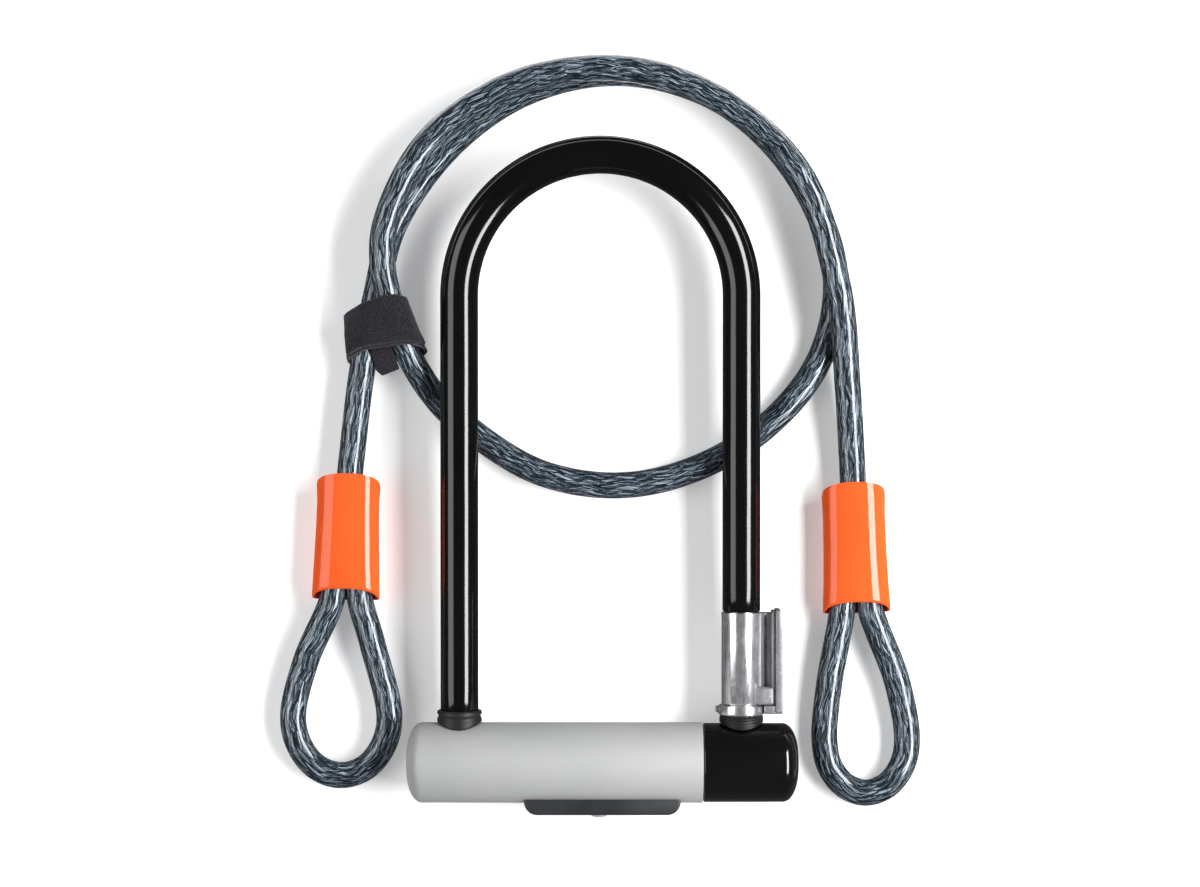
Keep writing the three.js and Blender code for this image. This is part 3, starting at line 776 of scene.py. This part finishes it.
# ---- cable ----
def route_point(index, t):
    """The centripetal Catmull-Rom curve through the route, between points index and index + 1."""
    points = CABLE_ROUTE
    p1, p2 = Vector(points[index]), Vector(points[index + 1])
    p0 = Vector(points[index - 1]) if index > 0 else 2 * p1 - p2
    p3 = Vector(points[index + 2]) if index + 2 < len(points) else 2 * p2 - p1
    d0, d1, d2 = (math.sqrt((b - a).length) for a, b in ((p0, p1), (p1, p2), (p2, p3)))
    m1 = ((p1 - p0) / d0 - (p2 - p0) / (d0 + d1) + (p2 - p1) / d1) * d1
    m2 = ((p2 - p1) / d1 - (p3 - p1) / (d1 + d2) + (p3 - p2) / d2) * d1
    return ((2 * t**3 - 3 * t**2 + 1) * p1 + (t**3 - 2 * t**2 + t) * m1
            + (3 * t**2 - 2 * t**3) * p2 + (t**3 - t**2) * m2)


def centreline(first=0, last=None, step=0.0016):
    last = len(CABLE_ROUTE) - 1 if last is None else last
    points = []
    for index in range(first, last):
        gap = (Vector(CABLE_ROUTE[index + 1]) - Vector(CABLE_ROUTE[index])).length
        spans = max(2, round(gap / step))
        points += [route_point(index, i / spans) for i in range(spans)]
    return points + [Vector(CABLE_ROUTE[last])]


def tube(points, radius, count, ends):
    """A bmesh round a line and the line's length. ends holds the (radius, shift) of each end's rings."""
    up = Vector((0, 0, 1))
    last = len(points) - 1
    circle = [(math.cos(math.tau * k / count), math.sin(math.tau * k / count)) for k in range(count)]
    stations = {0: ends, last: [(r, -shift) for r, shift in ends[::-1]]}
    rings, lengths, travelled = [], [], 0.0
    for i, point in enumerate(points):
        tangent = (points[min(i + 1, last)] - points[max(i - 1, 0)]).normalized()
        up = (up - tangent * up.dot(tangent)).normalized()
        side = tangent.cross(up)
        travelled += (point - points[i - 1]).length if i else 0
        for r, shift in stations.get(i, [(radius, 0)]):
            centre = point + tangent * shift
            rings.append([centre + r * (side * c + up * s) for c, s in circle])
            lengths.append(travelled + shift)
    return skin(rings, lengths=lengths), travelled


def make_cable(material):
    points = centreline()
    bm, length = tube(points, CABLE_R, CABLE_SIDES, [(CABLE_R - 0.0008, 0), (CABLE_R, 0.0006)])
    cable = link_piece("cable_skin", bm, material, "cable_set", ["cable"], sharp=60)
    return cable, points, length


# ---- crimps and their covers ----
def oval(half_x, half_z, y, lean=0.0, power=2.3, count=80):
    """A rounded oval ring at station y, fuller in its corners than an ellipse, whose top leans toward +Y."""
    ring = []
    for i in range(count):
        angle = math.tau * i / count
        c, s = math.cos(angle), math.sin(angle)
        x = half_x * math.copysign(abs(c) ** (2 / power), c)
        z = half_z * math.copysign(abs(s) ** (2 / power), s)
        ring.append((x, y + lean * (z if z > 0 else 0.2 * z), z))
    return ring


def stadium(half_x, half_z, y, count=80):
    """A flat oval ring: two half circles joined by straight sides."""
    ring = []
    for i in range(count):
        angle = math.tau * (i + 0.5) / count
        middle_x = math.copysign(half_x - half_z, math.cos(angle))
        ring.append((middle_x + half_z * math.cos(angle), y, half_z * math.sin(angle)))
    return ring


def eye_frame(side):
    low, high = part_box(side + "_ferrule_cover")
    centre = ((low[0] + high[0]) / 2, (low[1] + high[1]) / 2, COVER_Z)
    return Matrix.Translation(centre) @ Matrix.Rotation(math.radians(COVER_TURNS[side]), 4, "Z")


def make_crimp(name, side, material):
    """A pressed ferrule with two shallow grooves from the press."""
    end, shoulder, outer, groove = (0.0119, 0.0062), (0.01225, 0.00655), (0.0124, 0.0067), (0.0122, 0.0065)
    bore = (0.01155, 0.00585)
    half = [(outer, 0.002), (groove, 0.003), (outer, 0.004), (outer, CRIMP_HALF - 0.001),
            (shoulder, CRIMP_HALF - 0.0003), (end, CRIMP_HALF), (bore, CRIMP_HALF - 0.0002)]
    rings = [stadium(*size, -y) for size, y in half[::-1][1:]]
    rings += [stadium(*size, y) for size, y in half]
    rings.append(stadium(*bore, -half[-1][1]))
    return link_piece(name, skin(rings, closed=True), material, "cable_set",
                      [side + "_ferrule"], eye_frame(side) @ Matrix.Translation((0, CRIMP_Y, 0)), 40)


# Pairs of the share of the length, counted from the eye, and half the width.
LEFT_COVER_WIDTHS = [(0.01, 0.0142), (0.2, 0.0139), (0.45, 0.01345), (0.7, 0.0131), (0.86, 0.0130),
                     (0.99, 0.0134)]
RIGHT_COVER_WIDTHS = [(0.01, 0.0142), (0.1, 0.0140), (0.25, 0.0136), (0.5, 0.0132), (0.8, 0.0130),
                      (0.99, 0.01325)]


def make_cover(name, side, half_length, half_widths, material):
    """An orange sleeve that snaps over a crimp."""
    lip = [(1.7, 0.7), (1, 1), (0.3, 0.7)]  # how far each ring of a rim stands in and out, in rims

    def ring(half_x, y, inset=0.0):
        return oval(half_x - inset, COVER_HALF_Z - inset, y, COVER_LEAN)

    def rim(half_x, way, steps):
        return [ring(half_x, way * (half_length + out * COVER_RIM), inset * COVER_RIM)
                for inset, out in steps]

    outer = [ring(half_x, half_length * (2 * share - 1)) for share, half_x in half_widths]
    start = rim(half_widths[0][1], -1, lip)
    end = rim(half_widths[-1][1], 1, lip[::-1])
    bore = [oval(0.01285, 0.0072, y * half_length, COVER_LEAN, 2.5) for y in (0.97, -0.97)]
    return link_piece(name, skin(start + outer + end + bore, closed=True), material, "cable_set",
                      [side + "_ferrule_cover"], eye_frame(side), 50)


# ---- hook-and-loop tie ----
STRAP_FIRST = centreline(16, 19)  # the strand on the table, where the tie holds it
STRAP_SECOND = centreline(30, 34)  # the strand that climbs over it


def strand_at(points, y):
    return min(points, key=lambda p: abs(p.y - y))


def hull_outline(circles, radius, count=96):
    """The outline round equal circles in x and z, as evenly spaced points from its lowest one."""
    samples = 720
    dense = []
    for i in range(samples):
        angle = math.tau * i / samples - math.pi / 2
        normal = (math.cos(angle), math.sin(angle))
        x, z = max(circles, key=lambda c: c[0] * normal[0] + c[1] * normal[1])
        dense.append(Vector((x + radius * normal[0], z + radius * normal[1])))
    steps = [(b - a).length for a, b in zip(dense, dense[1:] + dense[:1])]
    total = sum(steps)
    result, target, travelled = [], 0.0, 0.0
    for point, following, step in zip(dense, dense[1:] + dense[:1], steps):
        while target <= travelled + step and len(result) < count:
            result.append(point.lerp(following, (target - travelled) / step if step else 0))
            target += total / count
        travelled += step
    return result


def strap_ring(across, radius):
    """The tie's outline at a share of its width, -1 at the edge nearest the eyes."""
    base_y = STRAP_Y + across * STRAP_HALF

    def leaned(x, z):
        return base_y + STRAP_SKEW * (x + 0.09) + STRAP_LEAN * (z - COVER_Z)

    first = strand_at(STRAP_FIRST, leaned(-0.099, 0.0088))
    second = strand_at(STRAP_SECOND, leaned(-0.086, 0.018))
    front, back = 0.5 - 0.5 * across, 0.5 + 0.5 * across
    top = second.z + 0.003 * front
    circles = [
        (first.x - 0.0034 * back, first.z),
        (first.x + 0.0040 - 0.0017 * back, first.z + 0.55 * (top - first.z) + 0.0012),
        (second.x, top),
        (second.x + 0.002 * front, second.z),
    ]
    return [Vector((p.x, leaned(p.x, p.y), max(p.y, 0.0004))) for p in hull_outline(circles, radius)]


def make_band(material):
    """The tape round both strands, with its edges rounded off."""
    round_off = 0.0004
    stations = [-1 + i / 6 for i in range(13)]
    inside = [strap_ring(across, STRAP_INNER_R) for across in stations]
    outside = [strap_ring(across, STRAP_OUTER_R) for across in stations[::-1]]
    outside[0] = strap_ring(0.99, STRAP_OUTER_R - round_off)
    outside[-1] = strap_ring(-0.99, STRAP_OUTER_R - round_off)
    return link_piece("tie_band", skin(inside + outside, closed=True), material, "cable_set",
                      ["cable_strap"], sharp=50)


def make_overlap(material):
    """The tape's second layer. Its rows are (share of the width, height over the band) pairs."""
    rows = [(-0.94, -0.0002), (-0.92, 0.0010)]
    rows += [(across, 0.0014) for across in (-0.85, -0.4, 0.0, 0.4, 0.85)]
    rows += [(0.92, 0.0010), (0.94, -0.0002)]
    bm = bmesh.new()
    verts = []
    for across, lift in rows:
        outline = strap_ring(across, STRAP_OUTER_R + lift)[OVERLAP_POINTS]
        verts.append([bm.verts.new(point) for point in outline])
    for a, b in zip(verts, verts[1:] + verts[:1]):
        for j in range(len(a) - 1):
            bm.faces.new((a[j], a[j + 1], b[j + 1], b[j]))
    bm.faces.new([row[0] for row in verts])
    bm.faces.new([row[-1] for row in verts])
    return link_piece("tie_overlap", bm, material, "cable_set", sharp=50)


def make_loose_end(material):
    """The end of the tape that sticks out between the two strands."""
    outline = [(-0.0979, 0.0560), (-0.0949, 0.0446), (-0.0924, 0.0424), (-0.0850, 0.0452), (-0.0890, 0.0560)]
    tip_y, tip_z, rise, thickness = 0.0424, 0.0102, 0.33, 0.0016
    layers = [[(x, y, tip_z + rise * (y - tip_y) + lift) for x, y in outline] for lift in (0, thickness)]
    return link_piece("tie_end", bevelled(skin(layers), 0.0004, 2), material, "cable_set",
                      ["strap_tail"])


def make_strap(material):
    return [make_band(material), make_overlap(material), make_loose_end(material)]


# ---- what the CAD already shapes well ----
def dress_nodes(finishes):
    """Gives the nodes that stay their materials."""
    for material, names in finishes:
        for name in names:
            node = frame["nodes"][name]
            node.data.materials.clear()
            node.data.materials.append(material)


# ---- studio ----
def flat_sheet(name, x, y, z, material):
    """A level rectangle that is part of the studio and not of the object."""
    mesh = bpy.data.meshes.new(name)
    corners = [(x[0], y[0], z), (x[1], y[0], z), (x[1], y[1], z), (x[0], y[1], z)]
    mesh.from_pydata(corners, [], [(0, 1, 2, 3)])
    mesh.materials.append(material)
    sheet = bpy.data.objects.new(name, mesh)
    bpy.context.collection.objects.link(sheet)
    return sheet


def make_floor():
    reach = (-8.0, 8.0)
    floor = flat_sheet("floor", reach, reach, 0, studio_floor())
    floor.visible_glossy = False


def make_rim_card():
    """A low white card behind the lock that only gloss sees: it gives the bend its pale outer rim."""
    s = Shader("rim_card_white", Roughness=1.0, Emission_Strength=1.3)
    white = s.surface(
        Emission_Color=s.ramp(s.noise(2, 1.0), (0.3, (0.95, 0.97, 1.0)), (0.7, (1.0, 1.0, 1.0))),
    )
    card = flat_sheet("rim_card", (-0.5, 0.5), (0.16, 1.0), 0.0005, white)
    card.visible_camera = False
    card.visible_diffuse = False
    card.visible_shadow = False


def main():
    make_camera()
    make_lights()
    make_floor()
    make_rim_card()
    cable, path, length = make_cable(braided_cable())
    pressed = machined("pressed_aluminium", (0.45, 0.45, 0.46), (0.70, 0.70, 0.71), 0.35)
    steel = machined("hardened_steel", (0.28, 0.285, 0.295), (0.50, 0.505, 0.515), 0.32)
    brass = machined("turned_brass", (0.42, 0.28, 0.10), (0.66, 0.47, 0.20), 0.28)
    orange = orange_plastic()
    on_cable = [make_crimp(side + "_crimp", side, pressed) for side in ("left", "right")]
    on_cable.append(make_cover("left_cover", "left", 0.0235, LEFT_COVER_WIDTHS, orange))
    on_cable.append(make_cover("right_cover", "right", 0.0245, RIGHT_COVER_WIDTHS, orange))
    on_cable += make_strap(hook_and_loop())
    make_sleeve(black_vinyl())
    make_bar(steel)
    make_jackets(silver_paint(), gloss_black())
    make_bumpers(black_rubber())
    make_bezel(moulded_plastic(), nickel())
    make_clip(bright_clip(), cast_clip(), steel)
    discs = [name for name in frame["nodes"] if name.startswith("detainer_disc")]
    dress_nodes([
        (steel, ["crossbar_tube", "left_end_plug", "right_end_plug", "left_bolt_guide", "right_bolt_guide",
                 "lock_housing", "drill_guard", "sidebar", "drive_cam", "left_bolt", "right_bolt"]),
        (brass, ["cylinder_shell", "lock_core"] + discs),
    ])


main()
